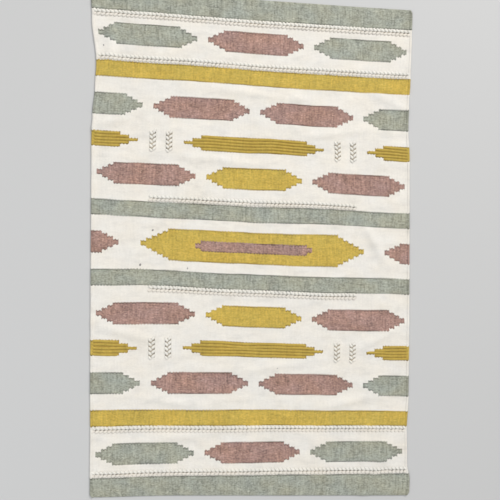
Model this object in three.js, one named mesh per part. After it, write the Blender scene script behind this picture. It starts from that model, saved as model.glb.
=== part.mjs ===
import * as THREE from 'three';

// A flat-woven wool rug, a kilim, lying face up. It is one woven piece: the ground weave, the raised
// chain rows, the ribbed bars, the herringbone marks and the corded selvedges share the same warps.
// X runs across the rug, Y along it and Z up, in millimetres. The origin is on the floor, under the
// middle of the rug. Sizes are first given on the loom, as across (0 at the left selvedge) and up
// (0 at the near end). The function layPoint then puts a loom point where the rug lies.

// Driving dimensions
const WIDTH = 1200;
const LENGTH = 1855;
const CLOTH_THICK = 4;
const RIM_THICK = 2.6;
const RIM_ROUND = 3;
const SELVEDGE_WIDE = 11.5;
const SELVEDGE_RISE = 2.2;
const BRAID_WIDE = 24;
const BRAID_RISE = 3.4;
const BRAID_GROOVE = 1.3;
const CORD_PITCH = 11.2;
const CORDS_IN_BAR = 5;
const CORD_RISE = 2.6;
const CORD_STEP = 32;
const MARK_WIDE = 28;
const MARK_HIGH = 80;
const END_FADE = 12;
const MARK_FADE = 6;
const SKEW = 34;
const SETTLE = 0.5;
const WIDEST_MESH_GAP = 75;
const NARROWEST_MESH_GAP = 2.5;
const WOOL_COLOUR = 0xe9e6da;

const MIDDLE = LENGTH / 2;
const BAR_HIGH = CORDS_IN_BAR * CORD_PITCH;

// Raised work. Every row lies at this distance from the middle, at both ends of the rug.

// A braid is two chain rows of opposite slant, side by side.
const BRAIDS = [
  { fromMiddle: 169, start: 208, end: 992 },
  { fromMiddle: 677, start: 0, end: WIDTH },
  { fromMiddle: 837.5, start: 0, end: WIDTH },
];

// A ribbed bar has thick cords, and each cord away from its middle is one step shorter.
const RIBBED_BARS = [
  { fromMiddle: 381, centre: 0, halfLong: 168 },
  { fromMiddle: 381, centre: WIDTH / 2, halfLong: 264 },
  { fromMiddle: 381, centre: WIDTH, halfLong: 168 },
];

// A herringbone mark is a short braid that runs up the rug.
const MARKS = [
  { fromMiddle: 381, centre: 222 },
  { fromMiddle: 381, centre: 282 },
  { fromMiddle: 381, centre: 918 },
  { fromMiddle: 381, centre: 978 },
];

// How the rug lies. No edge of hand weaving is straight, and its ends are not square to its sides:
// the right side lies nearer than the left by the skew.

// How far each selvedge draws in, going up the rug
const SIDE_DRAW = [
  { at: 0, left: 5, right: 7 },
  { at: 14, left: 0, right: 1 },
  { at: 57, left: 0, right: 0 },
  { at: 110, left: 0, right: 10 },
  { at: 249, left: 1, right: 12 },
  { at: 380, left: 0, right: 6 },
  { at: 740, left: 1, right: 5 },
  { at: 1290, left: 2, right: 7 },
  { at: 1400, left: 6, right: 13 },
  { at: 1490, left: 14, right: 12 },
  { at: 1582, left: 19, right: 6 },
  { at: 1740, left: 3, right: 2 },
  { at: 1841, left: 0, right: 0 },
  { at: LENGTH, left: 5, right: 5 },
];

// How far each woven end draws in, going across the rug
const END_DRAW = [
  { at: 0, near: 0, far: 0 },
  { at: 280, near: 5, far: 1 },
  { at: 620, near: 3, far: 3 },
  { at: 930, near: 1, far: 2 },
  { at: WIDTH, near: 0, far: 0 },
];

// How far the weft rises from left to right, beside the skew, going up the rug
const WEFT_SLANT = [
  { at: 0, rise: 0 },
  { at: 90, rise: 16 },
  { at: 440, rise: 3 },
  { at: 640, rise: -8 },
  { at: 1100, rise: -7 },
  { at: 1650, rise: -3 },
  { at: LENGTH, rise: 0 },
];

// Slow waves of the weft along its length: how high, how many across the width, and their phases
const WEFT_WAVES = [
  { high: 2.2, across: 1.3, up: 2.1, phase: 0.6 },
  { high: 1.1, across: 2.7, up: 3.4, phase: 2.3 },
];

// A smooth value between the rows of a table
function readTable(table, column, at) {
  const last = table.length - 1;
  if (at <= table[0].at) return table[0][column];
  if (at >= table[last].at) return table[last][column];
  const next = table.findIndex((row) => row.at > at);
  const from = table[next - 1];
  const to = table[next];
  const share = (at - from.at) / (to.at - from.at);
  const ease = share * share * (3 - 2 * share);
  return from[column] + (to[column] - from[column]) * ease;
}

// Where a loom point lies on the floor
function layPoint(across, up) {
  const share = across / WIDTH;
  const left = -WIDTH / 2 + readTable(SIDE_DRAW, 'left', up);
  const right = WIDTH / 2 - readTable(SIDE_DRAW, 'right', up);
  const near = -LENGTH / 2 + readTable(END_DRAW, 'near', across);
  const far = LENGTH / 2 - readTable(END_DRAW, 'far', across);
  const upShare = up / LENGTH;
  const slack = Math.sin(Math.PI * upShare);
  let y = near + (far - near) * upShare;
  y += (readTable(WEFT_SLANT, 'rise', up) - SKEW) * (share - 0.5);
  for (const wave of WEFT_WAVES) {
    const turn = 2 * Math.PI * (wave.across * share + wave.up * upShare) + wave.phase;
    y += wave.high * slack * Math.sin(turn);
  }
  return { x: left + (right - left) * share, y };
}

// Shapes of the raised work, as heights above the cloth

// One round ridge: full at the middle, nothing at half its width
function ridge(distance, halfWide) {
  const share = Math.min(1, Math.abs(distance) / halfWide);
  return Math.cos((Math.PI / 2) * share) ** 2;
}

// Two ridges side by side with a shallow groove between them
function braidSection(distance) {
  if (Math.abs(distance) >= BRAID_WIDE / 2) return 0;
  const height = BRAID_RISE * ridge(Math.abs(distance) - BRAID_WIDE / 4, BRAID_WIDE / 4);
  const inGroove = Math.abs(distance) < BRAID_WIDE / 4;
  return inGroove ? Math.max(BRAID_GROOVE, height) : height;
}

// 1 within a stretch, falling to 0 over the fade beyond its ends
function within(at, start, end, fade) {
  const outside = Math.max(start - at, at - end, 0);
  return Math.max(0, 1 - outside / fade);
}

function braidHeight(across, fromMiddle) {
  let height = 0;
  for (const braid of BRAIDS) {
    const section = braidSection(fromMiddle - braid.fromMiddle);
    height = Math.max(height, section * within(across, braid.start, braid.end, END_FADE));
  }
  return height;
}

function ribHeight(across, fromMiddle) {
  let height = 0;
  for (const bar of RIBBED_BARS) {
    const offset = fromMiddle - bar.fromMiddle;
    if (Math.abs(offset) >= BAR_HIGH / 2) continue;
    const cord = Math.round(offset / CORD_PITCH);
    const halfLong = bar.halfLong - Math.abs(cord) * CORD_STEP;
    const section = CORD_RISE * ridge(offset - cord * CORD_PITCH, CORD_PITCH / 2);
    const along = within(across, bar.centre - halfLong, bar.centre + halfLong, END_FADE);
    height = Math.max(height, section * along);
  }
  return height;
}

function markHeight(across, fromMiddle) {
  let height = 0;
  for (const mark of MARKS) {
    const section = braidSection(((across - mark.centre) * BRAID_WIDE) / MARK_WIDE);
    const half = MARK_HIGH / 2 - MARK_FADE;
    const along = within(fromMiddle, mark.fromMiddle - half, mark.fromMiddle + half, MARK_FADE);
    height = Math.max(height, section * along);
  }
  return height;
}

function selvedgeHeight(across) {
  const fromSide = Math.min(across, WIDTH - across);
  return SELVEDGE_RISE * ridge(fromSide - SELVEDGE_WIDE / 2, SELVEDGE_WIDE / 2);
}

// Height of the face above the floor at a loom point
function faceHeight(across, up) {
  const fromMiddle = Math.abs(up - MIDDLE);
  const fromRim = Math.min(across, WIDTH - across, up, LENGTH - up);
  const rimShare = Math.min(1, fromRim / RIM_ROUND);
  const cloth = RIM_THICK + (CLOTH_THICK - RIM_THICK) * Math.sqrt(rimShare);
  const raised = Math.max(
    braidHeight(across, fromMiddle),
    ribHeight(across, fromMiddle),
    markHeight(across, fromMiddle),
    selvedgeHeight(across),
  );
  const settled = SETTLE * Math.sin(across / 97 + up / 143) * Math.sin(up / 119 - across / 211);
  return cloth + (raised + settled) * rimShare;
}

// Mesh lines of the face. They follow the raised work, and wide stretches are filled evenly.
function meshLines(wanted, end) {
  const sorted = wanted.filter((at) => at > 0 && at < end).sort((a, b) => a - b);
  const kept = [0];
  for (const at of [...sorted, end]) {
    const previous = kept[kept.length - 1];
    const gap = at - previous;
    if (gap < NARROWEST_MESH_GAP) continue;
    const pieces = Math.ceil(gap / WIDEST_MESH_GAP);
    for (let piece = 1; piece <= pieces; piece += 1) {
      kept.push(previous + (gap * piece) / pieces);
    }
  }
  return kept;
}

// Lines across one braid or mark: both rims, both crests and the groove
function braidLines(wide) {
  return [-2, -1, 0, 1, 2].map((quarter) => (quarter * wide) / 4);
}

// Lines that both sides or both ends of the rug share
function mirrored(lines, end) {
  return [...lines, ...lines.map((at) => end - at)];
}

function upLines() {
  const lines = [RIM_ROUND];
  for (const braid of BRAIDS) {
    for (const offset of braidLines(BRAID_WIDE)) lines.push(MIDDLE - braid.fromMiddle + offset);
  }
  for (let half = 0; half <= 2 * CORDS_IN_BAR; half += 1) {
    const offset = (half - CORDS_IN_BAR) * (CORD_PITCH / 2);
    lines.push(MIDDLE - RIBBED_BARS[0].fromMiddle + offset);
  }
  for (const offset of [MARK_HIGH / 2, MARK_HIGH / 2 - MARK_FADE]) {
    lines.push(MIDDLE - MARKS[0].fromMiddle - offset, MIDDLE - MARKS[0].fromMiddle + offset);
  }
  const drawLines = SIDE_DRAW.map((row) => row.at);
  return meshLines([...drawLines, ...mirrored(lines, LENGTH)], LENGTH);
}

function acrossLines() {
  const lines = [RIM_ROUND, SELVEDGE_WIDE / 2, SELVEDGE_WIDE - RIM_ROUND, SELVEDGE_WIDE];
  for (const mark of MARKS) {
    for (const offset of braidLines(MARK_WIDE)) lines.push(mark.centre + offset);
  }
  const shorter = Math.floor(CORDS_IN_BAR / 2);
  for (const bar of RIBBED_BARS) {
    for (let step = 0; step <= shorter; step += 1) {
      lines.push(bar.centre + bar.halfLong - step * CORD_STEP);
    }
    lines.push(bar.centre + bar.halfLong + END_FADE);
  }
  return meshLines(mirrored(lines, WIDTH), WIDTH);
}

// One closed body: the face, the rim walls and a flat underside
function rugGeometry() {
  const across = acrossLines();
  const ups = upLines();
  const lastAcross = across.length - 1;
  const lastUp = ups.length - 1;
  const positions = [];
  const faces = [];

  const face = ups.map((up) => across.map((at) => {
    const { x, y } = layPoint(at, up);
    positions.push(x, y, faceHeight(at, up));
    return positions.length / 3 - 1;
  }));
  const under = ups.map((up, row) => across.map((at, column) => {
    const onRim = row === 0 || row === lastUp || column === 0 || column === lastAcross;
    if (!onRim) return null;
    const { x, y } = layPoint(at, up);
    positions.push(x, y, 0);
    return positions.length / 3 - 1;
  }));
  const quad = (a, b, c, d) => faces.push(a, b, c, a, c, d);

  for (let row = 0; row < lastUp; row += 1) {
    for (let column = 0; column < lastAcross; column += 1) {
      const next = column + 1;
      quad(face[row][column], face[row][next], face[row + 1][next], face[row + 1][column]);
    }
    quad(face[row][0], face[row + 1][0], under[row + 1][0], under[row][0]);
    quad(face[row + 1][lastAcross], face[row][lastAcross],
      under[row][lastAcross], under[row + 1][lastAcross]);
  }
  for (let column = 0; column < lastAcross; column += 1) {
    const next = column + 1;
    quad(face[0][next], face[0][column], under[0][column], under[0][next]);
    quad(face[lastUp][column], face[lastUp][next], under[lastUp][next], under[lastUp][column]);
  }

  // The underside is a ladder from side to side, with a fan at each end.
  for (let row = 1; row < lastUp - 1; row += 1) {
    quad(under[row][0], under[row + 1][0], under[row + 1][lastAcross], under[row][lastAcross]);
  }
  const middle = Math.floor(lastAcross / 2);
  for (const [end, inner, nearEnd] of [[0, 1, true], [lastUp, lastUp - 1, false]]) {
    const left = under[inner][0];
    const right = under[inner][lastAcross];
    const fan = (a, b, c) => (nearEnd ? faces.push(a, b, c) : faces.push(a, c, b));
    for (let column = 0; column < lastAcross; column += 1) {
      const corner = column < middle ? left : right;
      fan(under[end][column + 1], under[end][column], corner);
    }
    fan(under[end][middle], left, right);
  }

  const geometry = new THREE.BufferGeometry();
  geometry.setAttribute('position', new THREE.Float32BufferAttribute(positions, 3));
  geometry.setIndex(faces);
  geometry.computeVertexNormals();
  return geometry;
}

const wool = new THREE.MeshStandardMaterial({ color: WOOL_COLOUR, roughness: 0.95, metalness: 0 });
const wovenRug = new THREE.Mesh(rugGeometry(), wool);
wovenRug.name = 'woven_rug';

const rug = new THREE.Group();
rug.add(wovenRug);

export default rug;
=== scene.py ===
# %% [markdown]
# A wool rug, woven flat
#
# This lesson dresses a kilim: a rug without pile, woven so tightly that its coloured weft hides the
# warp. On the real rug everything is one cloth, but the eye reads several kinds of work in it: plain
# weave in four yarns, braided chain rows, thick ribbed bars, herringbone marks and corded side edges.
# Each kind of work gets a short function of its own here, and all of them are modelled on a flat loom
# first. One function then lays every point on the floor, so the pieces bend together as one cloth.

# %% Load the frame
import math

import bmesh
import bpy
from mathutils import Matrix, Vector, noise


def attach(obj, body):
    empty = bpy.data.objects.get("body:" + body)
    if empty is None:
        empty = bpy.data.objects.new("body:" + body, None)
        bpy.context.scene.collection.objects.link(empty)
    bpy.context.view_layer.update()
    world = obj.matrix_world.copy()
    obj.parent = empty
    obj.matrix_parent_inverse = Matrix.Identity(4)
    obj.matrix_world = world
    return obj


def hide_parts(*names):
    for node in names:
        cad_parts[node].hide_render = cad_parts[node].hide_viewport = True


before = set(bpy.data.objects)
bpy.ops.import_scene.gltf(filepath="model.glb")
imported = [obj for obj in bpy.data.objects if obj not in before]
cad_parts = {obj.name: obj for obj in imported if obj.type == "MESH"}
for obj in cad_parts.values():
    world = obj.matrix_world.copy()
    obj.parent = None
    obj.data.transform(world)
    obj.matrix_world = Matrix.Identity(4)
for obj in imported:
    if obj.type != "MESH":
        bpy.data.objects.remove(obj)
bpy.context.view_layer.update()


def in_metres(corner, digits=3):
    return [round(value, digits) for value in corner]


print("packed solids:", len(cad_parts))

# %% [markdown]
# The camera hangs almost straight above the rug, a little left of its middle, and it leans by less than
# five degrees. That lean makes the left side look longer than the right one, so it is worth keeping.
# The lens takes in as much as a slightly long phone lens does.

# %% Hang the camera
CAMERA_AT = Vector((-0.1682, 0.0029, 1.8616))
CAMERA_TURN = [math.radians(angle) for angle in (-0.313, -4.626, 0.262)]
LENS_MM = 36.0

camera = bpy.data.objects.new("camera", bpy.data.cameras.new("camera"))
bpy.context.collection.objects.link(camera)
camera.data.lens = LENS_MM
camera.location = CAMERA_AT
camera.rotation_euler = CAMERA_TURN
bpy.context.scene.camera = camera
print("camera", round(CAMERA_AT.z, 2), "m above the floor")

# %% [markdown]
# A large soft lamp from the far right lets the raised yarn cast short, soft shadows towards the near
# left. A weaker, cooler one opposite keeps the shadows light, and the world fills the rest evenly. The
# standard view shows each yarn in the colour that its material says, so dyes can be matched by number.
# The floor is a wide round disc, so its far edge is a straight horizon from every side.

# %% Light the room and lay the floor
LAMPS = {
    "window_lamp": {"at": (4.0, 6.0, 6.0), "watts": 570.0, "wide": 3.0, "tint": (1.0, 0.985, 0.96)},
    "room_lamp": {"at": (-2.8, -1.9, 4.4), "watts": 91.0, "wide": 3.4, "tint": (0.93, 0.97, 1.0)},
}
ROOM_GREY = 0.45
FLOOR_GREY = 0.58
FLOOR_REACH = 40.0
FLOOR_SIDES = 96
FLOOR_DROP = 0.0002
FLOOR_ROUGHNESS = 0.7


def grey_colour(value):
    return (value, value, value, 1)


def hang_lamp(name, lamp):
    data = bpy.data.lights.new(name, "AREA")
    data.energy = lamp["watts"]
    data.size = lamp["wide"]
    data.color = lamp["tint"]
    light = bpy.data.objects.new(name, data)
    light.location = lamp["at"]
    light.rotation_euler = (-Vector(lamp["at"])).to_track_quat("-Z", "Y").to_euler()
    bpy.context.collection.objects.link(light)


def make_floor():
    mesh = bpy.data.meshes.new("floor")
    bm = bmesh.new()
    bmesh.ops.create_circle(bm, cap_ends=True, segments=FLOOR_SIDES, radius=FLOOR_REACH)
    bmesh.ops.translate(bm, verts=bm.verts, vec=(0, 0, -FLOOR_DROP))
    bm.to_mesh(mesh)
    bm.free()
    floor = bpy.data.objects.new("floor", mesh)
    bpy.context.collection.objects.link(floor)
    paint = bpy.data.materials.new("pale floor")
    paint.use_nodes = True
    shader = paint.node_tree.nodes["Principled BSDF"]
    shader.inputs["Base Color"].default_value = grey_colour(FLOOR_GREY)
    shader.inputs["Roughness"].default_value = FLOOR_ROUGHNESS
    mesh.materials.append(paint)


for lamp_name, lamp_facts in LAMPS.items():
    hang_lamp(lamp_name, lamp_facts)
world = bpy.data.worlds.new("room")
world.use_nodes = True
world.node_tree.nodes["Background"].inputs["Color"].default_value = grey_colour(ROOM_GREY)
bpy.context.scene.world = world
bpy.context.scene.view_settings.view_transform = "Standard"
make_floor()
print(len(LAMPS), "lamps and a floor")

# %% [markdown]
# The loom comes next. Every size is in metres, measured across from the left selvedge and up from the
# near end. Small tables with named columns hold the design, and a helper turns their rows into
# dictionaries. The rows of work lie at a distance from the middle, and the far half mirrors the near
# half, as in many traditional kilims: plain bands, and rows of stepped lozenges.

# %% Set up the loom and the design
WIDTH = 1.200
LENGTH = 1.855
MIDDLE = LENGTH / 2
CLOTH_THICK = 0.004
STEP_WIDE = 0.020
STEP_HIGH = 0.010


def table(columns, *rows):
    return [dict(zip(columns.split(), row)) for row in rows]


BANDS = table(
    "middle high yarn",
    (0.8945, 0.090, "sage"),
    (0.635, 0.060, "mustard"),
    (0.127, 0.060, "sage"),
)
LOZENGES = table(
    "middle high half_long centre yarn",
    (0.765, 0.080, 0.180, 0.200, "sage"),
    (0.765, 0.080, 0.180, 0.600, "mauve"),
    (0.765, 0.080, 0.180, 1.000, "sage"),
    (0.508, 0.080, 0.180, 0.000, "sage"),
    (0.508, 0.080, 0.180, 0.400, "mauve"),
    (0.508, 0.080, 0.180, 0.800, "mauve"),
    (0.508, 0.080, 0.180, 1.200, "sage"),
    (0.257, 0.080, 0.180, 0.200, "mauve"),
    (0.257, 0.080, 0.180, 0.600, "mustard"),
    (0.257, 0.080, 0.180, 1.000, "mauve"),
    (0.000, 0.080, 0.100, 0.000, "mauve"),
    (0.000, 0.080, 0.100, 1.200, "mauve"),
    (0.000, 0.120, 0.420, 0.600, "mustard"),
    (0.000, 0.040, 0.220, 0.600, "mauve"),
)
BRAIDS = table(
    "middle start end",
    (0.169, 0.208, 0.992),
    (0.677, 0.004, WIDTH - 0.004),
    (0.8375, 0.004, WIDTH - 0.004),
)
RIBBED_BARS = table(
    "middle centre half_long",
    (0.381, 0.000, 0.168),
    (0.381, 0.600, 0.264),
    (0.381, 1.200, 0.168),
)
MARKS = table(
    "middle centre",
    (0.381, 0.222),
    (0.381, 0.282),
    (0.381, 0.918),
    (0.381, 0.978),
)
BRAID_WIDE = 0.024
MARK_WIDE = 0.026
MARK_HIGH = 0.080
CORD_PITCH = 0.0112
CORDS_IN_BAR = 5
CORD_STEP = 0.032


def both_halves(row):
    """The row's places up the rug: one in each half, or a single one in the middle."""
    return sorted({MIDDLE - row["middle"], MIDDLE + row["middle"]})


print(len(BANDS), "bands,", len(LOZENGES), "lozenges and", len(BRAIDS), "braids, each in both halves")

# %% [markdown]
# Nothing on the floor is as straight as on the loom. The sides draw in here and there, the ends are
# askew, the weft rises and falls, and low ripples lift the cloth off the floor. These tables hold the
# unevenness, and `lay` applies it. A cloth simulation could find such ripples too, but one function
# gives the same ones each time and moves every piece alike. All the tables but the one of ripples
# repeat the imported solid's own, so the dressed rug stays where the frame says.

# %% How the rug lies
SKEW = 0.034
SIDE_DRAW = table(
    "at left right",
    (0.000, 0.005, 0.007),
    (0.014, 0.000, 0.001),
    (0.057, 0.000, 0.000),
    (0.110, 0.000, 0.010),
    (0.249, 0.001, 0.012),
    (0.380, 0.000, 0.006),
    (0.740, 0.001, 0.005),
    (1.290, 0.002, 0.007),
    (1.400, 0.006, 0.013),
    (1.490, 0.014, 0.012),
    (1.582, 0.019, 0.006),
    (1.740, 0.003, 0.002),
    (1.841, 0.000, 0.000),
    (LENGTH, 0.005, 0.005),
)
END_DRAW = table(
    "at near far",
    (0.000, 0.000, 0.000),
    (0.280, 0.005, 0.001),
    (0.620, 0.003, 0.003),
    (0.930, 0.001, 0.002),
    (WIDTH, 0.000, 0.000),
)
WEFT_SLANT = table(
    "at rise",
    (0.000, 0.000),
    (0.090, 0.016),
    (0.440, 0.003),
    (0.640, -0.008),
    (1.100, -0.007),
    (1.650, -0.003),
    (LENGTH, 0.000),
)
WEFT_WAVES = table(
    "high across up phase",
    (0.0022, 1.3, 2.1, 0.6),
    (0.0011, 2.7, 3.4, 2.3),
)
RIPPLES = table(
    "across up turn long wide high",
    (1.080, 0.110, 62, 0.110, 0.022, 0.0078),
    (0.380, 0.226, 7, 0.180, 0.018, 0.0046),
    (0.950, 0.352, 14, 0.130, 0.016, 0.0062),
    (0.300, 0.348, 172, 0.150, 0.016, 0.0048),
    (0.690, 0.488, 10, 0.140, 0.016, 0.0052),
    (0.120, 0.603, 165, 0.120, 0.017, 0.0062),
    (1.080, 0.604, 28, 0.110, 0.017, 0.0080),
    (0.150, 0.880, 60, 0.080, 0.020, 0.0068),
    (1.060, 0.965, 118, 0.090, 0.018, 0.0084),
    (0.500, 1.246, 174, 0.200, 0.017, 0.0050),
    (0.080, 1.375, 20, 0.120, 0.018, 0.0070),
    (0.900, 1.372, 8, 0.160, 0.016, 0.0054),
    (0.620, 1.500, 176, 0.240, 0.017, 0.0050),
    (1.120, 1.505, 158, 0.090, 0.016, 0.0060),
    (0.060, 1.650, 75, 0.110, 0.020, 0.0074),
)
SETTLE = 0.0022
SETTLE_LUMPS = (5, 11)
SETTLE_SLANT = 0.4


def read_table(rows, column, at):
    """A smooth value between the rows of a table."""
    if at <= rows[0]["at"]:
        return rows[0][column]
    for before, after in zip(rows, rows[1:]):
        if at <= after["at"]:
            share = (at - before["at"]) / (after["at"] - before["at"])
            ease = share * share * (3 - 2 * share)
            return before[column] + (after[column] - before[column]) * ease
    return rows[-1][column]


def lumpy(across, up, lumps, seed):
    """Smooth noise from -1 to 1, with so many lumps a metre each way."""
    return noise.noise(Vector((across * lumps[0], up * lumps[1], seed)))


def ripple(across, up):
    """How far the cloth is lifted off the floor at a loom point."""
    lift = SETTLE * (1 + lumpy(across + up * SETTLE_SLANT, up, SETTLE_LUMPS, 2)) / 2
    for row in RIPPLES:
        turn = math.radians(row["turn"])
        right, ahead = across - row["across"], up - row["up"]
        along = (right * math.cos(turn) + ahead * math.sin(turn)) / row["long"]
        beside = (ahead * math.cos(turn) - right * math.sin(turn)) / row["wide"]
        lift += row["high"] * math.exp(-along * along - beside * beside)
    return lift


def lay(across, up, height):
    """Where a loom point lies on the floor."""
    share = across / WIDTH
    up_share = up / LENGTH
    left = -WIDTH / 2 + read_table(SIDE_DRAW, "left", up)
    right = WIDTH / 2 - read_table(SIDE_DRAW, "right", up)
    near = -LENGTH / 2 + read_table(END_DRAW, "near", across)
    far = LENGTH / 2 - read_table(END_DRAW, "far", across)
    y = near + (far - near) * up_share
    y += (read_table(WEFT_SLANT, "rise", up) - SKEW) * (share - 0.5)
    slack = math.sin(math.pi * up_share)
    for wave in WEFT_WAVES:
        turn = 2 * math.pi * (wave["across"] * share + wave["up"] * up_share) + wave["phase"]
        y += wave["high"] * slack * math.sin(turn)
    return Vector((left + (right - left) * share, y, height + ripple(across, up)))


print("the near left corner lies at", in_metres(lay(0, 0, 0)))

# %% [markdown]
# Wool yarn is never one flat colour, so the yarns get their material in three steps. First come short
# names for the few nodes that all of them use. They read each piece's own `loom` map, which holds
# metres on the loom, so a pattern follows the cloth as it bends. A second map, worked out from it, has
# one value all over each float, which is the bit of weft that shows between two dips under the warp.
#
# Most of wool's life is soft noise of many sizes. The table below names each of these clouds, with its
# map, its lumps a metre each way and its detail. Where it also has a steepness and a number to take
# off, the cloud is made into patches between 0 and 1.

# %% Gather the nodes
WARP_PITCH = 0.0056
PICK_PITCH = 0.0023
FLOAT_SHIFT = 0.5
CLOUDS = table(
    "kind map across up detail steep less",
    ("lump", "float", 140, 170, 1.0),
    ("slub", "loom", 170, 22, 1.0),
    ("stripe", "loom", 34, 12, 2.0),
    ("patch", "loom", 9, 26, 3.0),
    ("fibre", "loom", 900, 1500, 2.0),
    ("speckle", "float", 150, 190, 1.0, 7.0, 4.0),
    ("drift", "loom", 9, 13, 2.0, 3.0, 1.0),
    # The crease shade cloud is painted shade: soft dark streaks that stand for the shade of small
    # creases.
    ("smear", "loom", 14, 36, 3.0, 5.0, 2.6),
    ("tooth spacing", "loom", 60, 6, 2.0),
    ("toothed", "loom", 8, 14, 2.0, 4.0, 1.2),
    ("wander", "loom", 14, 3, 2.0),
    ("dark edge", "loom", 9, 12, 2.0, 4.0, 1.2),
)
CLOUDS = {row["kind"]: row for row in CLOUDS}


def from_srgb(red, green, blue):
    """A colour as painters give it, from 0 to 255, turned into Blender's linear light."""
    values = []
    for part in (red, green, blue):
        share = part / 255
        values.append(share / 12.92 if share <= 0.04045 else ((share + 0.055) / 1.055) ** 2.4)
    return (*values, 1.0)


class Mixer:
    """A material, and short names for the nodes that wool needs."""

    def __init__(self, name):
        self.material = bpy.data.materials.new(name)
        self.material.use_nodes = True
        self.nodes = self.material.node_tree.nodes
        self.links = self.material.node_tree.links
        self.shader = self.nodes["Principled BSDF"]
        loom = self.nodes.new("ShaderNodeUVMap")
        loom.uv_map = "loom"
        parts = self.nodes.new("ShaderNodeSeparateXYZ")
        self.join(loom.outputs["UV"], parts.inputs[0])
        self.across, self.up = parts.outputs["X"], parts.outputs["Y"]
        self.maps = {"loom": loom.outputs["UV"], "float": self.map_floats()}

    def join(self, value, socket):
        if isinstance(value, bpy.types.NodeSocket):
            self.links.new(value, socket)
        else:
            socket.default_value = value

    def math(self, operation, *values, clamp=False):
        node = self.nodes.new("ShaderNodeMath")
        node.operation = operation
        node.use_clamp = clamp
        for value, socket in zip(values, node.inputs):
            self.join(value, socket)
        return node.outputs[0]

    def add(self, *values):
        total = values[0]
        for value in values[1:]:
            total = self.math("ADD", total, value)
        return total

    def darken(self, shade, value, dark):
        """The shade as it is where the value is 1, and darker by a share where it is 0."""
        return self.math("MULTIPLY", shade, self.math("MULTIPLY_ADD", value, dark, 1.0 - dark))

    def between(self, share, first, second):
        """The first number where the share is 0, and the second where it is 1."""
        rest = self.math("MULTIPLY", self.math("SUBTRACT", 1.0, share), first)
        return self.math("ADD", self.math("MULTIPLY", share, second), rest)

    def around_zero(self, value, strength):
        return self.math("MULTIPLY_ADD", value, strength, -strength / 2)

    def gap(self, value, at):
        """How far a value is from a place, on either side."""
        return self.math("ABSOLUTE", self.math("SUBTRACT", value, at))

    def teeth(self, along, pitch):
        """A zigzag from 0 to 1 and back over one pitch."""
        return self.math("DIVIDE", self.math("PINGPONG", along, pitch / 2), pitch / 2)

    def pair(self, first, second):
        node = self.nodes.new("ShaderNodeCombineXYZ")
        self.join(first, node.inputs["X"])
        self.join(second, node.inputs["Y"])
        return node.outputs[0]

    def map_floats(self):
        """The loom map, held still over each float. Every pick starts half a float further along."""
        pick = self.math("FLOOR", self.math("DIVIDE", self.up, PICK_PITCH))
        column = self.math("DIVIDE", self.across, WARP_PITCH)
        column = self.math("FLOOR", self.math("MULTIPLY_ADD", pick, FLOAT_SHIFT, column))
        column = self.math("MULTIPLY_ADD", pick, -FLOAT_SHIFT, column)
        across = self.math("MULTIPLY", column, WARP_PITCH)
        return self.pair(across, self.math("MULTIPLY", pick, PICK_PITCH))

    def cloud(self, kind):
        """Soft noise around 0.5, or patches from 0 to 1, as the cloud's row says."""
        row = CLOUDS[kind]
        scale = self.nodes.new("ShaderNodeMapping")
        scale.inputs["Scale"].default_value = (row["across"], row["up"], 1)
        self.join(self.maps[row["map"]], scale.inputs["Vector"])
        node = self.nodes.new("ShaderNodeTexNoise")
        node.inputs["Scale"].default_value = 1.0
        node.inputs["Detail"].default_value = row["detail"]
        self.join(scale.outputs["Vector"], node.inputs["Vector"])
        soft = node.outputs["Fac"]
        if "steep" in row:
            soft = self.math("MULTIPLY_ADD", soft, row["steep"], -row["less"], clamp=True)
        return soft

    def dashes(self, lane_at, lane_wide, along, long, shift):
        """Chance from 0 to 1, the same all over one short dash. Each lane of dashes starts shifted."""
        lane = self.math("FLOOR", self.math("DIVIDE", lane_at, lane_wide))
        dash = self.math("MULTIPLY_ADD", lane, shift, self.math("DIVIDE", along, long))
        chance = self.nodes.new("ShaderNodeTexWhiteNoise")
        chance.noise_dimensions = "2D"
        self.join(self.pair(lane, self.math("FLOOR", dash)), chance.inputs["Vector"])
        return chance.outputs["Value"]

    def attribute(self, name):
        node = self.nodes.new("ShaderNodeAttribute")
        node.attribute_name = name
        return node.outputs["Fac"]

    def blend(self, kind, share, first, second):
        node = self.nodes.new("ShaderNodeMix")
        node.data_type = "RGBA"
        node.blend_type = kind
        node.clamp_factor = True
        sockets = node.inputs[0], node.inputs[6], node.inputs[7]
        for value, socket in zip((share, first, second), sockets):
            self.join(value, socket)
        return node.outputs[2]

    def grey(self, value):
        node = self.nodes.new("ShaderNodeCombineColor")
        for socket in node.inputs:
            self.join(value, socket)
        return node.outputs[0]


print("a mixer for wool is ready, with", len(CLOUDS), "kinds of cloud")

# %% [markdown]
# The second step is the yarn. Heather comes from wool of several shades, spun together: each float of
# the weft shows its own tone. Short dashes run along the weft, faint streaks follow the hidden warp,
# and broad patches drift from warm to cool where one batch of dye follows another. The weave itself is
# too fine for the mesh, so it is a bump: floats one warp wide that change places with every pick.
#
# A dye's row gives its main colour, the paler colour of its flecks, and how strong the heather and the
# flecks are. The tones say how far each sort of dash or cloud changes a full heather's brightness.

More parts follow.
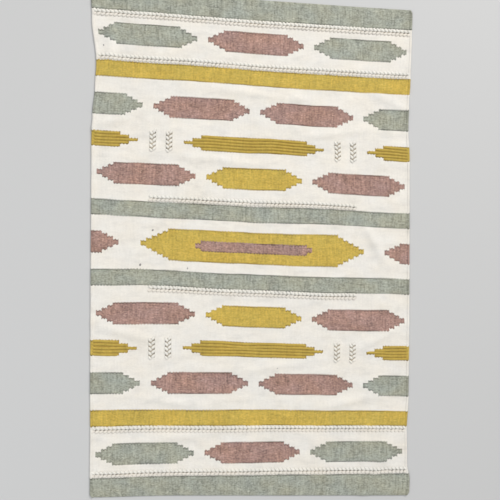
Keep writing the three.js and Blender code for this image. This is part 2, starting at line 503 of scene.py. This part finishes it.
# %% Spin the yarns
DYES = table(
    "yarn colour fleck heather flecks",
    ("cream", (238, 234, 225), (212, 204, 190), 0.11, 0.10),
    ("sage", (161, 165, 151), (204, 207, 194), 0.95, 0.36),
    ("mustard", (200, 174, 83), (226, 206, 132), 0.58, 0.26),
    ("mauve", (166, 135, 124), (210, 183, 170), 1.10, 0.48),
    # The mustard furrow shade row is painted shade: a darker mustard ground under the ribbed cords, seen
    # in the furrows.
    ("deep mustard", (170, 142, 68), (184, 156, 86), 0.50, 0.20),
    # The gap row is painted shade: a darker cream for the ground under braids and marks, seen between
    # stitches.
    ("gap", (176, 166, 148), (196, 187, 170), 0.60, 0.20),
)
DYES = {dye["yarn"]: dye for dye in DYES}
WARM, COOL = (1.04, 0.985, 0.94, 1.0), (0.985, 0.99, 1.045, 1.0)
LEAST_DRIFT = 0.25
WEFT_DASH = 0.019
WARP_STREAK = 0.034
LANE_SHIFT = 0.37
FLOAT_TONE, DASH_TONE, STREAK_TONE = 0.45, 0.17, 0.20
HEATHER_CLOUDS = {"lump": 0.34, "slub": 0.56, "stripe": 0.44}
PATCH_TONE, FIBRE_TONE, CREASE_SHADE_TONE = 0.20, 0.12, 0.08
BUMP_DEEP = 0.0007
BUMP_STRENGTH = 0.8
FIBRE_BUMP = 0.3
WOOL_FINISH = {
    "Roughness": 0.92,
    "Specular IOR Level": 0.2,
    "Sheen Weight": 0.08,
    "Sheen Roughness": 0.6,
}
RIDGE_SHARE = 0.7


def heather_tone(mix):
    """Brightness of the yarn around zero, for a yarn with full heather."""
    floats = mix.dashes(mix.up, PICK_PITCH, mix.across, WARP_PITCH, FLOAT_SHIFT)
    weft = mix.dashes(mix.up, 2 * PICK_PITCH, mix.across, WEFT_DASH, LANE_SHIFT)
    warp = mix.dashes(mix.across, WARP_PITCH, mix.up, WARP_STREAK, LANE_SHIFT)
    parts = [(floats, FLOAT_TONE), (weft, DASH_TONE), (warp, STREAK_TONE)]
    parts += [(mix.cloud(kind), tone) for kind, tone in HEATHER_CLOUDS.items()]
    return mix.add(*(mix.around_zero(part, tone) for part, tone in parts))


def finish_wool(mix, colour, fleck, heather, flecks, shade, relief):
    """Joins a yarn's colours to the shader. shade darkens it, and relief is the bump's height."""
    yarn = mix.blend("MIX", mix.math("MULTIPLY", mix.cloud("speckle"), flecks), colour, fleck)
    tint = mix.blend("MIX", mix.cloud("drift"), WARM, COOL)
    yarn = mix.blend("MULTIPLY", mix.math("ADD", heather, LEAST_DRIFT, clamp=True), yarn, tint)
    fibres = mix.cloud("fibre")
    bright = mix.math("MULTIPLY_ADD", heather_tone(mix), heather, 1.0)
    for cloud, tone in ((mix.cloud("patch"), PATCH_TONE), (fibres, FIBRE_TONE)):
        bright = mix.math("MULTIPLY", bright, mix.math("ADD", mix.around_zero(cloud, tone), 1.0))
    # Painted shade: soft dark streaks standing for the shade of small creases in the cloth.
    crease_shaded = mix.math("MULTIPLY_ADD", mix.cloud("smear"), -CREASE_SHADE_TONE, 1.0)
    bright = mix.math("MULTIPLY", bright, mix.math("MULTIPLY", shade, crease_shaded))
    mix.join(mix.blend("MULTIPLY", 1.0, yarn, mix.grey(bright)), mix.shader.inputs["Base Color"])

    bump = mix.nodes.new("ShaderNodeBump")
    bump.inputs["Distance"].default_value = BUMP_DEEP
    bump.inputs["Strength"].default_value = BUMP_STRENGTH
    mix.join(mix.math("MULTIPLY_ADD", fibres, FIBRE_BUMP, relief), bump.inputs["Height"])
    mix.join(bump.outputs["Normal"], mix.shader.inputs["Normal"])
    for socket, value in WOOL_FINISH.items():
        mix.shader.inputs[socket].default_value = value
    return mix.material


def weave_relief(mix):
    """Height of the weave, from 0 to 1: floats one warp wide, swapped at every pick."""
    pick = mix.math("DIVIDE", mix.up, PICK_PITCH)
    shift = mix.math("MULTIPLY", mix.math("FLOOR", pick), FLOAT_SHIFT)
    warp = mix.math("ADD", mix.math("DIVIDE", mix.across, WARP_PITCH), shift)
    over = mix.math("SINE", mix.math("MULTIPLY", mix.math("FRACT", warp), math.pi))
    ridge = mix.math("SINE", mix.math("MULTIPLY", mix.math("FRACT", pick), math.pi))
    return mix.darken(over, ridge, RIDGE_SHARE)


print("dyes:", ", ".join(DYES))

# %% [markdown]
# The third step is the design. A weaver changes yarn at counted warps and picks, so the material does
# the same with arithmetic on the loom map. For each yarn it works out how far inside that yarn's areas
# a point lies. Above zero the yarn shows, and near zero, along an edge, it has darker dots. The map is
# first pushed to and fro by tiny zigzags, because at each change of colour the picks of two yarns
# interlock. That gives every edge its teeth at any distance, which no mesh could afford. Under raised
# work the ground is painted darker, as painted shade, and it shows only in the gaps between its cords
# or stitches.

# %% Draw the design with nodes
TOOTH_PITCH = 0.0112
TOOTH_DEPTH = 0.0034
TOOTH_STEEP = 2.4
TOOTH_UNEVEN = 0.009
SIDE_TOOTH_PITCH = 0.0046
SIDE_TOOTH_DEPTH = 0.0012
HAND_WANDER = 0.0050
EDGE_SOFT = 0.0008
EDGE_WIDE = 0.0062
EDGE_FALL = 0.0030
EDGE_DARK = 0.78
DOT_SHARE = 0.8
GAP_HALF = 0.0022
MARK_GROUND = (0.46 * MARK_WIDE, 0.42 * MARK_HIGH)
SELVEDGE_WIDE = 0.0115
DYED_SIDE_DARK = 0.12


def hand_teeth(mix):
    """The zigzag of the picks that interlock. Its pitch is a little uneven, as it is by hand."""
    uneven = mix.around_zero(mix.cloud("tooth spacing"), TOOTH_UNEVEN)
    return mix.teeth(mix.math("ADD", mix.across, uneven), TOOTH_PITCH)


def yarn_areas(mix, zigzag):
    """For each yarn but cream, how many metres inside its areas a loom point lies."""
    zigzag = mix.math("MULTIPLY_ADD", zigzag, TOOTH_STEEP, (1 - TOOTH_STEEP) / 2, clamp=True)
    teeth = mix.math("MULTIPLY", mix.around_zero(zigzag, TOOTH_DEPTH), mix.cloud("toothed"))
    up = mix.add(mix.up, teeth, mix.around_zero(mix.cloud("wander"), HAND_WANDER))
    side_teeth = mix.around_zero(mix.teeth(mix.up, SIDE_TOOTH_PITCH), SIDE_TOOTH_DEPTH)
    across = mix.add(mix.across, side_teeth)
    from_side = mix.math("MINIMUM", mix.across, mix.math("SUBTRACT", WIDTH, mix.across))
    from_middle = mix.gap(up, MIDDLE)
    off_rows = {}
    areas = {}

    def off_row(row):
        if row["middle"] not in off_rows:
            off_rows[row["middle"]] = mix.gap(from_middle, row["middle"])
        return off_rows[row["middle"]]

    def stepped(row, first, step_high, step_wide, top):
        room = mix.math("SUBTRACT", row["half_long"], mix.gap(across, row["centre"]))
        courses = mix.math("FLOOR", mix.math("DIVIDE", room, step_wide))
        reach = mix.math("MINIMUM", mix.math("MULTIPLY_ADD", courses, step_high, first), top)
        return mix.math("SUBTRACT", reach, off_row(row))

    def oblong(row, centre, half_long, half_high):
        beside = mix.math("SUBTRACT", half_long, mix.gap(mix.across, centre))
        return mix.math("MINIMUM", beside, mix.math("SUBTRACT", half_high, off_row(row)))

    def add_area(yarn, inside):
        areas[yarn] = mix.math("MAXIMUM", areas[yarn], inside) if yarn in areas else inside

    for band in BANDS:
        add_area(band["yarn"], mix.math("SUBTRACT", band["high"] / 2, off_row(band)))
    for lozenge in LOZENGES:
        inside = stepped(lozenge, STEP_HIGH, STEP_HIGH, STEP_WIDE, lozenge["high"] / 2)
        add_area(lozenge["yarn"], inside)
    on_cloth = mix.math("SUBTRACT", from_side, SELVEDGE_WIDE)
    for bar in RIBBED_BARS:
        inside = stepped(bar, CORD_PITCH / 2, CORD_PITCH, CORD_STEP, CORDS_IN_BAR * CORD_PITCH / 2)
        add_area("mustard", inside)
        # Painted shade: the ground under the cords is a darker mustard, seen in the furrows between them.
        add_area("deep mustard", mix.math("MINIMUM", inside, on_cloth))
    for braid in BRAIDS:
        centre, half_long = (braid["start"] + braid["end"]) / 2, (braid["end"] - braid["start"]) / 2
        # Painted shade: a darker strip of ground along the braid's middle, seen in the gaps between its
        # stitches.
        add_area("gap", oblong(braid, centre, half_long - BRAID_WIDE / 3, GAP_HALF))
    for mark in MARKS:
        # Painted shade: a darker ground under each mark, seen between its stitches beside their real
        # shadow.
        add_area("gap", oblong(mark, mark["centre"], *MARK_GROUND))
    return areas, from_side


def dye_cloth(name):
    """The wool of the ground cloth and its selvedges: all yarns, each in its own areas."""
    mix = Mixer(name)
    zigzag = hand_teeth(mix)
    areas, from_side = yarn_areas(mix, zigzag)
    cream = DYES["cream"]
    colour, fleck = from_srgb(*cream["colour"]), from_srgb(*cream["fleck"])
    heather, flecks, dark = cream["heather"], cream["flecks"], 0.0
    dotted = mix.darken(mix.cloud("dark edge"), zigzag, DOT_SHARE)
    for yarn, dye in DYES.items():
        if yarn not in areas:
            continue
        share = mix.math("DIVIDE", areas[yarn], EDGE_SOFT, clamp=True)
        colour = mix.blend("MIX", share, colour, from_srgb(*dye["colour"]))
        fleck = mix.blend("MIX", share, fleck, from_srgb(*dye["fleck"]))
        heather = mix.between(share, heather, dye["heather"])
        flecks = mix.between(share, flecks, dye["flecks"])
        near = mix.math("MULTIPLY_ADD", areas[yarn], -1 / EDGE_FALL, EDGE_WIDE / EDGE_FALL, clamp=True)
        dark = mix.between(share, dark, mix.math("MULTIPLY", near, dotted))
    shade = mix.math("MULTIPLY_ADD", dark, -EDGE_DARK, 1.0)
    # Dyed yarn is darker within the selvedge's width at each side.
    dyed_side = mix.math("MULTIPLY", mix.math("LESS_THAN", from_side, SELVEDGE_WIDE), heather, clamp=True)
    shade = mix.math("MULTIPLY", shade, mix.math("MULTIPLY_ADD", dyed_side, -DYED_SIDE_DARK, 1.0))
    return finish_wool(mix, colour, fleck, heather, flecks, shade, weave_relief(mix))


CLOTH_WOOL = dye_cloth("woven wool")
print("the woven wool has", len(CLOTH_WOOL.node_tree.nodes), "nodes")

# %% [markdown]
# Raised work, such as a cord or a stitch, is one yarn all over. It needs no design, but painted shade
# darkens it low on its sides and in the grooves between two turns of yarn. Each such piece carries two
# attributes that the material reads: `crown` is 1 along its top and 0 at its sides, and `ply` counts
# the turns of the yarn along it, so the painted grooves between them follow the piece wherever it points.

# %% Spin the raised yarns
TURN_GROOVE_SHADE = 0.14
TURN_BUMP = 0.6
CROWN_ROUND = 0.6
RAISED_HEATHER = 0.6
RAISED_FLECKS = 0.5


def spin_raised(name, yarn, side_shade, colour):
    """One yarn for raised work, in its own colour. side_shade says how much painted shade darkens its
    sides.
    """
    mix = Mixer(name)
    dye = DYES[yarn]
    crown = mix.math("POWER", mix.math("MAXIMUM", mix.attribute("crown"), 0.0), CROWN_ROUND)
    turns = mix.teeth(mix.attribute("ply"), 1.0)
    # Painted shade: darker low on the sides and in the grooves between turns of yarn.
    shade = mix.darken(mix.darken(1.0, crown, side_shade), turns, TURN_GROOVE_SHADE)
    heather, flecks = dye["heather"] * RAISED_HEATHER, dye["flecks"] * RAISED_FLECKS
    relief = mix.math("MULTIPLY", turns, TURN_BUMP)
    colour, fleck = from_srgb(*colour), from_srgb(*dye["fleck"])
    return finish_wool(mix, colour, fleck, heather, flecks, shade, relief)


RAISED_MUSTARD = spin_raised("raised mustard wool", "mustard", side_shade=0.18, colour=(196, 169, 80))
RAISED_CREAM = spin_raised("raised cream wool", "cream", side_shade=0.30, colour=(246, 243, 234))
WARM_CREAM = spin_raised("raised warm cream wool", "cream", side_shade=0.30, colour=(243, 237, 226))
NUB_WOOL = spin_raised("nub wool", "gap", side_shade=0.20, colour=(150, 147, 146))
print("three raised yarns, and one for nubs")

# %% [markdown]
# The ground cloth starts as one grid with close, even lines, which leaves enough points for the small
# unevenness of hand weaving. `solidify` gives it an underside. At the two ends the cloth thins to a
# rounded rim, where the last picks were packed, and at the sides it swells to meet the selvedges.

# %% Weave the ground cloth
CLOTH_RIM = 0.002
RIM_ROUND = 0.003
RIM_TOP, RIM_BELOW = 0.62, 0.16
ACROSS_GAP = 0.0074
UP_GAP = 0.0076
HAND_UNEVEN = 0.0005
SMALL_LUMPS, BROAD_LUMPS = (38, 52), (9, 12)
SWELL_WIDE = 0.022
SWELL_HIGH = 0.0016


def mesh_lines(wanted, widest):
    """Lines at the wanted places, with more between them so that no gap is wide."""
    lines = [wanted[0]]
    for at in wanted[1:]:
        pieces = math.ceil((at - lines[-1]) / widest)
        first, gap = lines[-1], (at - lines[-1]) / pieces
        lines += [first + gap * piece for piece in range(1, pieces + 1)]
    return lines


def map_loom(bm):
    """Writes the loom map: metres across and up, read before the piece is laid."""
    layer = bm.loops.layers.uv.new("loom")
    for face in bm.faces:
        for loop in face.loops:
            loop[layer].uv = loop.vert.co.xy


def finish_piece(name, bm, wools):
    """Lays the piece on the floor and makes it an object of the rug's one body."""
    for vert in bm.verts:
        vert.co = lay(*vert.co)
    for face in bm.faces:
        face.smooth = True
    mesh = bpy.data.meshes.new(name)
    bm.to_mesh(mesh)
    bm.free()
    for wool in wools:
        mesh.materials.append(wool)
    piece = bpy.data.objects.new(name, mesh)
    bpy.context.collection.objects.link(piece)
    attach(piece, "root")
    print(name, "has", sum(len(face.vertices) - 2 for face in mesh.polygons), "triangles")
    return piece


def weave_cloth():
    across_lines = mesh_lines([CLOTH_RIM, WIDTH - CLOTH_RIM], ACROSS_GAP)
    rim_lines = [0.0, RIM_ROUND / 3, RIM_ROUND]
    up_lines = mesh_lines(rim_lines + [LENGTH - at for at in reversed(rim_lines)], UP_GAP)
    columns, rows = len(across_lines) - 1, len(up_lines) - 1
    bm = bmesh.new()
    bmesh.ops.create_grid(bm, x_segments=columns, y_segments=rows, size=0.5)
    for vert in bm.verts:
        column, row = round((vert.co.x + 0.5) * columns), round((vert.co.y + 0.5) * rows)
        vert.co = (across_lines[column], up_lines[row], CLOTH_THICK)
    bmesh.ops.solidify(bm, geom=bm.faces[:], thickness=CLOTH_THICK)
    map_loom(bm)
    for vert in bm.verts:
        across, up, height = vert.co
        uneven = lumpy(across, up, SMALL_LUMPS, 0) + lumpy(across, up, BROAD_LUMPS, 7)
        from_end = max(0.0, min(up, LENGTH - up))
        rim = math.sqrt(min(1.0, from_end / RIM_ROUND))
        swell = max(0.0, 1 - min(across, WIDTH - across) / SWELL_WIDE)
        if height > CLOTH_THICK / 2:
            thick = CLOTH_THICK * (RIM_TOP + (1 - RIM_TOP) * rim)
            vert.co.z = thick + (HAND_UNEVEN * uneven + SWELL_HIGH * swell) * rim
        else:
            vert.co.z = CLOTH_THICK * RIM_BELOW * (1 - rim)
    return finish_piece("ground_cloth", bm, [CLOTH_WOOL])


cloth = weave_cloth()

# %% [markdown]
# The next two pieces are made of round cords, so one helper serves both. A cord starts as a flat square
# grid. It is stretched to the cord's length and rolled up, `remove_doubles` joins the seam and
# `holes_fill` closes the ends. The callers say how thick the cord is at each place, and where its
# middle runs on the loom. A bevelled curve would be quicker, but it is smooth and round all over, and
# these cords are ridged, and flat below where they touch the floor.

# %% Roll a cord from a grid
CORD_SIDES = 10
SEAM_GAP = 0.00001
YARN_TURN = 0.0026
PLY_SLANT = 0.5


def raised_layers(bm):
    """The two attributes of raised work, made here if the piece has none yet."""
    floats = bm.verts.layers.float
    return [floats.get(name) or floats.new(name) for name in ("crown", "ply")]


def roll_cord(bm, length, steps, middle, size):
    """Adds one cord. middle(along) gives its loom place and the direction of its side there, and
    size(along, turn) gives half its width and half its height."""
    crown, ply = raised_layers(bm)
    grid = bmesh.ops.create_grid(bm, x_segments=CORD_SIDES, y_segments=steps, size=0.5)["verts"]
    for vert in grid:
        turn = -(vert.co.x + 0.5) * 2 * math.pi
        along = (vert.co.y + 0.5) * length
        place, sideways = middle(along)
        half_wide, half_high = size(along, turn)
        beside, above = half_wide * math.sin(turn), half_high * math.cos(turn)
        vert.co = place + sideways * beside + Vector((0, 0, above))
        vert.co.z = max(vert.co.z, 0.0)
        vert[crown] = math.cos(turn)
        vert[ply] = (along + PLY_SLANT * beside) / YARN_TURN
    faces = {face for vert in grid for face in vert.link_faces}
    bmesh.ops.remove_doubles(bm, verts=grid, dist=SEAM_GAP)
    open_edges = {edge for face in faces if face.is_valid for edge in face.edges if edge.is_boundary}
    bmesh.ops.holes_fill(bm, edges=list(open_edges))


print("a cord has", CORD_SIDES, "sides")

# %% [markdown]
# At each side the weft turns round the outer warps, which are bundled to take the wear. That makes a
# firm cord, the selvedge, a little prouder than the cloth. It shows every turn of the weft as a small
# slanting ridge. A bump could draw these, but they also show in the rug's outline, so they are shaped.
# As the cord shares the cloth's material, it changes colour with the bands.

# %% Bind the selvedges
SELVEDGE_HALF = 0.0056
SELVEDGE_FILL = 0.97
SELVEDGE_HIGH = 0.0035
SELVEDGE_LUMPS, LUMP_DEPTH = (60, 3), 0.08
SELVEDGE_ROUND, SELVEDGE_END = 0.004, 0.55
TURN_PITCH = 0.0066
TURN_DEPTH = 0.10
STEPS_A_TURN = 4


def bind_selvedges():
    bm = bmesh.new()
    steps = round(LENGTH / TURN_PITCH * STEPS_A_TURN)
    for side, centre in ((-1, SELVEDGE_HALF), (1, WIDTH - SELVEDGE_HALF)):

        def middle(along, centre=centre):
            return Vector((centre, along, SELVEDGE_HIGH)), Vector((1, 0, 0))

        def size(along, turn, side=side):
            ridge = math.cos(2 * math.pi * along / TURN_PITCH + side * turn)
            lump = lumpy(along, side, SELVEDGE_LUMPS, 0)
            room = max(0.0, min(1.0, along / SELVEDGE_ROUND, (LENGTH - along) / SELVEDGE_ROUND))
            end = SELVEDGE_END + (1 - SELVEDGE_END) * math.sqrt(room)
            grow = (1 + TURN_DEPTH * ridge + LUMP_DEPTH * lump) * end
            return SELVEDGE_HALF * SELVEDGE_FILL * grow, SELVEDGE_HIGH * grow

        roll_cord(bm, LENGTH, steps, middle, size)
    map_loom(bm)
    return finish_piece("selvedges", bm, [CLOTH_WOOL])


selvedges = bind_selvedges()

# %% [markdown]
# In a ribbed bar the weft is wrapped round bundles of warp, row by row, which leaves thick cords with
# dark furrows between them: real shadow, deepened by painted shade on the ground and on the cords'
# sides. The cords end one after another, so the bar tapers in steps. They wander a little and swell a
# little, because no two wraps are pulled equally tight. Stripes in the material would look flat from
# the side, and as there are only thirty cords, each one can be a real shape.

# %% Lay the ribbed cords
CORD_HALF = 0.0051
CORD_HIGH = 0.0032
CORD_LIFT = 0.0036
CORD_TAPER, CORD_END = 0.016, 0.12
CORD_MESH_STEP = 0.008
CORD_WANDER, CORD_WANDER_LUMPS = 0.0008, (22, 400)
BAR_WANDER, BAR_WANDER_LUMPS = 0.0046, (8, 50)
CORD_SWELL, CORD_SWELL_LUMPS = 0.14, (70, 300)


def cord_offsets():
    """Each cord's place beside its bar's middle, and how much shorter it is than the middle one."""
    beyond = CORDS_IN_BAR // 2
    return [(number * CORD_PITCH, abs(number) * CORD_STEP) for number in range(-beyond, beyond + 1)]


def lay_ribbed_cords():
    bm = bmesh.new()
    for bar in RIBBED_BARS:
        for at in both_halves(bar):
            for offset, shorter in cord_offsets():
                start = max(SELVEDGE_HALF, bar["centre"] - bar["half_long"] + shorter)
                end = min(WIDTH - SELVEDGE_HALF, bar["centre"] + bar["half_long"] - shorter)
                free_ends = start > SELVEDGE_HALF, end < WIDTH - SELVEDGE_HALF
                up = at + offset

                def middle(along, start=start, up=up):
                    across = start + along
                    wander = CORD_WANDER * lumpy(across, up, CORD_WANDER_LUMPS, 3)
                    wander += BAR_WANDER * lumpy(across, round(up, 1), BAR_WANDER_LUMPS, 4)
                    return Vector((across, up + wander, CORD_LIFT)), Vector((0, -1, 0))

                def size(along, turn, start=start, end=end, up=up, free_ends=free_ends):
                    long = end - start
                    room = min(along if free_ends[0] else 1.0, long - along if free_ends[1] else 1.0)
                    share = min(1.0, room / CORD_TAPER)
                    taper = CORD_END + (1 - CORD_END) * math.sqrt(max(0.0, 1 - (1 - share) ** 2))
                    swell = 1 + CORD_SWELL * lumpy(start + along, up, CORD_SWELL_LUMPS, 9)
                    return CORD_HALF * taper * swell, CORD_HIGH * taper * swell

                roll_cord(bm, end - start, round((end - start) / CORD_MESH_STEP), middle, size)
    map_loom(bm)
    return finish_piece("ribbed_cords", bm, [RAISED_MUSTARD])


ribbed_cords = lay_ribbed_cords()

# %% [markdown]
# A chain row is made with a thicker yarn that is wrapped forward over a few warps and back under fewer.
# Each wrap shows as one plump, slanting stitch. Two rows that slant opposite ways read as a braid, with
# small dark gaps along its middle, where the ground below is painted shade. There are many hundreds of
# stitches, so one is shaped from a sphere with few faces, and each place gets a turned and stretched
# copy. A herringbone mark is the same work, turned to run up the rug and opened a little, so the shade
# between its stitches shows: real shadow, over a ground painted darker as painted shade.

# %% Work the braids and marks
STITCH_FACES_ROUND = 8
STITCH_FACES_LONG = 6
STITCH_LIFT = 0.0042
STITCHES = table(
    "work pitch long wide high slant offset",
    ("braid", 0.0150, 0.0092, 0.0054, 0.0036, 30, 0.08),
    ("mark", 0.0162, 0.0092, 0.0050, 0.0032, 46, 0.20),
)
STITCHES = {row["work"]: row for row in STITCHES}
STITCH_TURNS = 3
STITCH_PLY_SLANT = 0.6
STITCH_HEAD = 0.18
STITCH_DIP = 0.3
POLE_GIRTH = 0.1
WOBBLE_LUMPS = (90, 90)
WOBBLE_TURN, WOBBLE_LONG = 0.22, 0.1


def shape_stitch():
    """One stitch, two units long: plump with blunt ends, and thicker where the yarn comes up."""
    bm = bmesh.new()
    crown, ply = raised_layers(bm)
    bmesh.ops.create_uvsphere(bm, u_segments=STITCH_FACES_ROUND, v_segments=STITCH_FACES_LONG,
                              radius=1.0, matrix=Matrix.Rotation(math.pi / 2, 4, "Y"))
    for vert in bm.verts:
        girth = math.hypot(vert.co.y, vert.co.z)
        blunt = 1 / math.sqrt(girth) if girth > POLE_GIRTH else 1.0
        blunt *= 1 - STITCH_HEAD * vert.co.x
        vert.co.y *= blunt
        vert.co.z = vert.co.z * blunt - STITCH_DIP * vert.co.x * vert.co.x
        vert[crown] = vert.co.z
        vert[ply] = (vert.co.x + STITCH_PLY_SLANT * vert.co.y) * STITCH_TURNS / 2
    mesh = bpy.data.meshes.new("stitch")
    bm.to_mesh(mesh)
    bm.free()
    return mesh


def add_stitch(bm, stitch, work, across, up, turn):
    wobble = lumpy(across, up, WOBBLE_LUMPS, 5)
    place = Matrix.Translation((across, up, STITCH_LIFT))
    turned = Matrix.Rotation(turn + WOBBLE_TURN * wobble, 4, "Z")
    long = work["long"] * (1 + WOBBLE_LONG * wobble)
    stretch = Matrix.Diagonal((long, work["wide"], work["high"], 1))
    copy = stitch.copy()
    copy.transform(place @ turned @ stretch)
    bm.from_mesh(copy)
    bpy.data.meshes.remove(copy)


def work_rows(bm, stitch, work, start, end, wide, place, sides=(-1, 1)):
    """Rows of stitches. place(along, beside) gives the loom point and the direction of the braid."""
    count = round((end - start) / work["pitch"])
    for number in range(count):
        for side in sides:
            along = start + (number + 0.5 + side * work["offset"]) * (end - start) / count
            across, up, heading = place(along, side * wide / 4)
            add_stitch(bm, stitch, work, across, up, heading - side * math.radians(work["slant"]))


def work_braids(stitch):
    wools = [RAISED_CREAM, WARM_CREAM]
    bm = bmesh.new()
    for wool, side in zip(wools, (1, -1)):
        faces_before = len(bm.faces)
        for braid in BRAIDS:
            for at in both_halves(braid):
                work_rows(bm, stitch, STITCHES["braid"], braid["start"], braid["end"], BRAID_WIDE,
                          lambda along, beside, at=at: (along, at + beside, 0.0), sides=(side,))
        for face in bm.faces[faces_before:]:
            face.material_index = wools.index(wool)
    map_loom(bm)
    return finish_piece("chain_braids", bm, wools)


def work_marks(stitch):
    bm = bmesh.new()
    for mark in MARKS:
        for at in both_halves(mark):
            work_rows(bm, stitch, STITCHES["mark"], at - MARK_HIGH / 2, at + MARK_HIGH / 2, MARK_WIDE,
                      lambda along, beside, mark=mark: (mark["centre"] + beside, along, math.pi / 2))
    map_loom(bm)
    return finish_piece("herringbone_marks", bm, [RAISED_CREAM])


stitch_mesh = shape_stitch()
braids = work_braids(stitch_mesh)
marks = work_marks(stitch_mesh)
bpy.data.meshes.remove(stitch_mesh)

# %% [markdown]
# Hand-spun wool leaves small dark nubs where a bit of another fleece was caught in the yarn. A few of
# them, each smaller than a fingernail, keep the pale ground from looking like plastic. Spots in the
# material would lie flat, so they are low balls of few faces, half sunk in the cloth.

# %% Catch a few nubs in the cloth
NUBS = table(
    "across up long",
    (0.224, 0.978, 0.0040),
    (0.179, 0.846, 0.0048),
    (0.352, 0.842, 0.0030),
    (0.033, 1.645, 0.0030),
    (0.905, 1.330, 0.0022),
    (0.690, 0.480, 0.0022),
)
NUB_LIFT = 0.0002
NUB_SHAPE = (1.0, 0.75, 0.35)
NUB_TURN = 20


def catch_nubs():
    bm = bmesh.new()
    crown = raised_layers(bm)[0]
    for nub in NUBS:
        place = Matrix.Translation((nub["across"], nub["up"], CLOTH_THICK + NUB_LIFT))
        turned = Matrix.Rotation(nub["up"] * NUB_TURN, 4, "Z")
        stretch = Matrix.Diagonal((*(nub["long"] * share for share in NUB_SHAPE), 1))
        shape = place @ turned @ stretch
        nub_ball = bmesh.ops.create_icosphere(bm, subdivisions=2, radius=1.0, matrix=shape)
        for vert in nub_ball["verts"]:
            vert[crown] = 1.0
    map_loom(bm)
    return finish_piece("wool_nubs", bm, [NUB_WOOL])


nubs = catch_nubs()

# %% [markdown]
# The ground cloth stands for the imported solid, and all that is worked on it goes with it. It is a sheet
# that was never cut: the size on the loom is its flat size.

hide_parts("woven_rug")
